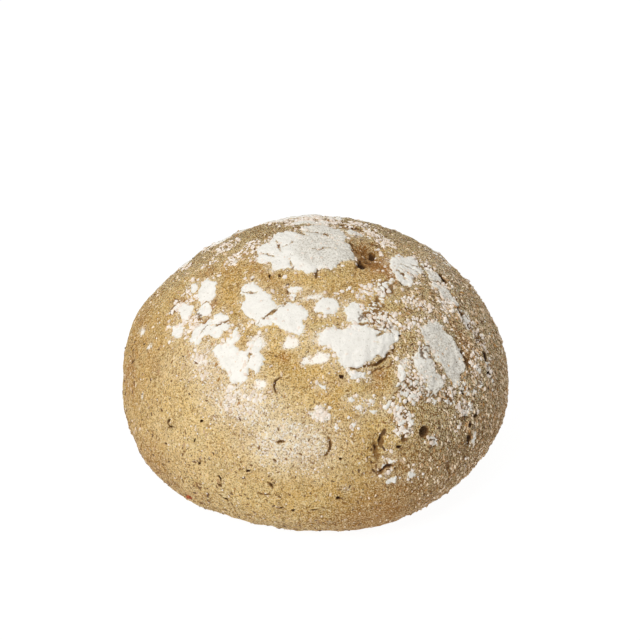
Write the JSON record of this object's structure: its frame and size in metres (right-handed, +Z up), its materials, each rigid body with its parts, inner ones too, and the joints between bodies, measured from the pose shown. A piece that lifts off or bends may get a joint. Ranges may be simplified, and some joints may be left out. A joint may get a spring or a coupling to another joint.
{
  "type": "bread roll",
  "caption": "Round hand-shaped bread roll with a domed crown, a tucked-in heel and a flat base, dusted with flour.",
  "frame": {"origin": "middle of the flat base, on the surface the roll stands on", "axes": "+Z up through the crown, +X to the roll's right, -Y towards its front"},
  "size_m": [0.1014, 0.0982, 0.0591],
  "materials": {
    "crust": "baked bread crust, golden beige, matte, lightly floured",
    "flour": "caked and loose dusting flour, off-white, fully matte",
    "bran": "toasted bran flecks and seed husk, dark brown, matte"
  },
  "bodies": {
    "root": {"roll": "crust"}
  },
  "joints": []
}
